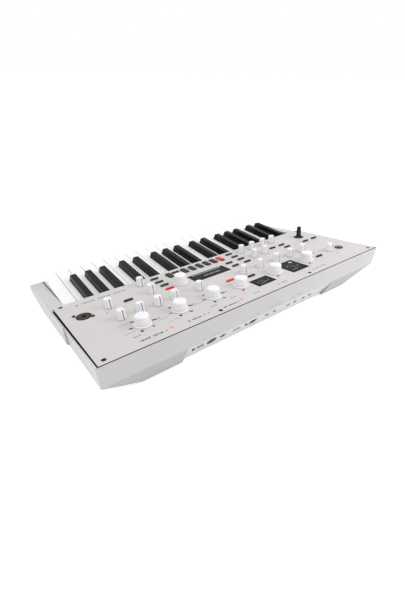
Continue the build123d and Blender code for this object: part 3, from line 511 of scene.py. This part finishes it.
# The wave windows: a dim field with a curve over it and some dashes.
CURVE_STEPS = 14
for cx, cy, width, depth in ((-16.8, 38.8, 30.0, 17.0), (-97.8, 48.3, 32.0, 34.0)):
    mark(dim, cx, cy, width, depth, height=GLASS_H)
    swing = depth * 0.18
    run = width * 0.8 / CURVE_STEPS
    for i in range(CURVE_STEPS):
        start = math.sin(i / CURVE_STEPS * 2 * math.pi)
        end = math.sin((i + 1) / CURVE_STEPS * 2 * math.pi)
        rise = (end - start) * swing
        x = cx - width * 0.4 + (i + 0.5) * run
        down = cy - 1 - (start + end) / 2 * swing
        mark(lit, x, down, math.hypot(run, rise), 0.5, math.degrees(math.atan2(rise, run)), LIT_H)
    for i in range(4):
        mark(lit, cx + width * 0.3 - i * 3.2, cy - depth * 0.38, 2.2, 1.0, height=LIT_H)
disc(lit, -108.5, 62.0, 3.6, height=LIT_H)
add_mesh("display_graphics", lit, display_light, "case")
add_mesh("display_fields", dim, display_grey, "case")

# ---------------------------------------------------------------- knob pointers
KNOB_LIFT = 0.6
POINTER_W = 1.3
POINTER_TURN = 100


def pointer(name, place):
    """The dark filling of the line that is cut over a small knob's top and down its side."""
    base_radius, top_radius, height, foot = 6.4, 5.6, 14.5, 0.02
    axis_point = deck(*place, KNOB_LIFT)
    turn = math.radians(POINTER_TURN)
    out = Vector((1, 0, 0)) * math.cos(turn) + SLOPE * math.sin(turn)
    side = NORMAL.cross(out)
    rounding = top_radius / 4
    foot_radius = base_radius - (base_radius - top_radius) * foot / height
    profile = [
        (base_radius / 2 + 0.05, height - 0.48),
        (top_radius - 0.38, height - 0.48),
        (top_radius - 0.38, foot),
        (foot_radius - 0.03, foot),
        (top_radius + 0.02, height - rounding),
        (top_radius - rounding, height - 0.03),
        (base_radius / 2 + 0.05, height - 0.03),
    ]
    bm = bmesh.new()
    corners = [axis_point + (out * r + NORMAL * h - side * POINTER_W / 2) * MM for r, h in profile]
    plate(bm, corners, side, POINTER_W)
    bmesh.ops.recalc_face_normals(bm, faces=bm.faces)
    add_mesh(name + "_line", bm, pointer_ink, name)


for name, place in SMALL_KNOBS.items():
    pointer(name, place)

# ---------------------------------------------------------------- stage
floor_material = bpy.data.materials.new("floor_white")
floor_material.use_nodes = True
floor_shader = floor_material.node_tree.nodes["Principled BSDF"]
floor_shader.inputs["Base Color"].default_value = (0.93, 0.93, 0.93, 1)
floor_shader.inputs["Roughness"].default_value = 0.9
floor_shader.inputs["Emission Color"].default_value = (1, 1, 1, 1)
floor_shader.inputs["Emission Strength"].default_value = 0.5
floor_mesh = bpy.data.meshes.new("floor")
floor_mesh.from_pydata([(-30, -30, 0), (30, -30, 0), (30, 30, 0), (-30, 30, 0)], [], [(0, 1, 2, 3)])
floor_mesh.materials.append(floor_material)
floor = bpy.data.objects.new("floor", floor_mesh)
floor.location.z = -0.0002
scene.collection.objects.link(floor)

# A white studio dome, brightest at the horizon.
world = bpy.data.worlds.new("studio")
scene.world = world
world.use_nodes = True
tree = world.node_tree
sky = tree.nodes["Background"]
ray = tree.nodes.new("ShaderNodeTexCoord")
split = tree.nodes.new("ShaderNodeSeparateXYZ")
tree.links.new(ray.outputs["Generated"], split.inputs["Vector"])
level = tree.nodes.new("ShaderNodeMapRange")
level.inputs["From Min"].default_value = 0.25
level.inputs["From Max"].default_value = 0.55
level.inputs["To Min"].default_value = 1.0
level.inputs["To Max"].default_value = 0.7
tree.links.new(split.outputs["Z"], level.inputs["Value"])
tree.links.new(level.outputs["Result"], sky.inputs["Strength"])
sky.inputs["Color"].default_value = (1.0, 1.0, 1.0, 1)


def area_light(name, place, target, size, power):
    """A square soft light aimed at a point."""
    data = bpy.data.lights.new(name, "AREA")
    data.size = size
    data.energy = power
    obj = bpy.data.objects.new(name, data)
    obj.location = place
    obj.rotation_euler = (Vector(target) - Vector(place)).to_track_quat("-Z", "Y").to_euler()
    scene.collection.objects.link(obj)


area_light("key_light", (0.5, 0.1, 1.9), (0, 0, 0.04), 1.6, 13.0)
area_light("far_light", (-0.75, 0.6, 0.8), (-0.22, 0.06, 0.05), 0.6, 5.5)

# ---------------------------------------------------------------- camera
camera_data = bpy.data.cameras.new("camera")
camera_data.sensor_width = 36.0
camera_data.lens = 20.43
camera_data.clip_start = 0.01
camera = bpy.data.objects.new("camera", camera_data)
CAMERA_PLACE = Vector((0.3536, 0.4583, 0.3518))
ahead = Vector((-0.498, -0.660, -0.562)).normalized()
right = Vector((-0.805, 0.593, 0.017))
right = (right - ahead * right.dot(ahead)).normalized()
up = right.cross(ahead)
camera.matrix_world = Matrix.Translation(CAMERA_PLACE) @ Matrix(
    ((right.x, up.x, -ahead.x), (right.y, up.y, -ahead.y), (right.z, up.z, -ahead.z))
).to_4x4()
scene.collection.objects.link(camera)
scene.camera = camera
scene.view_settings.view_transform = "Standard"
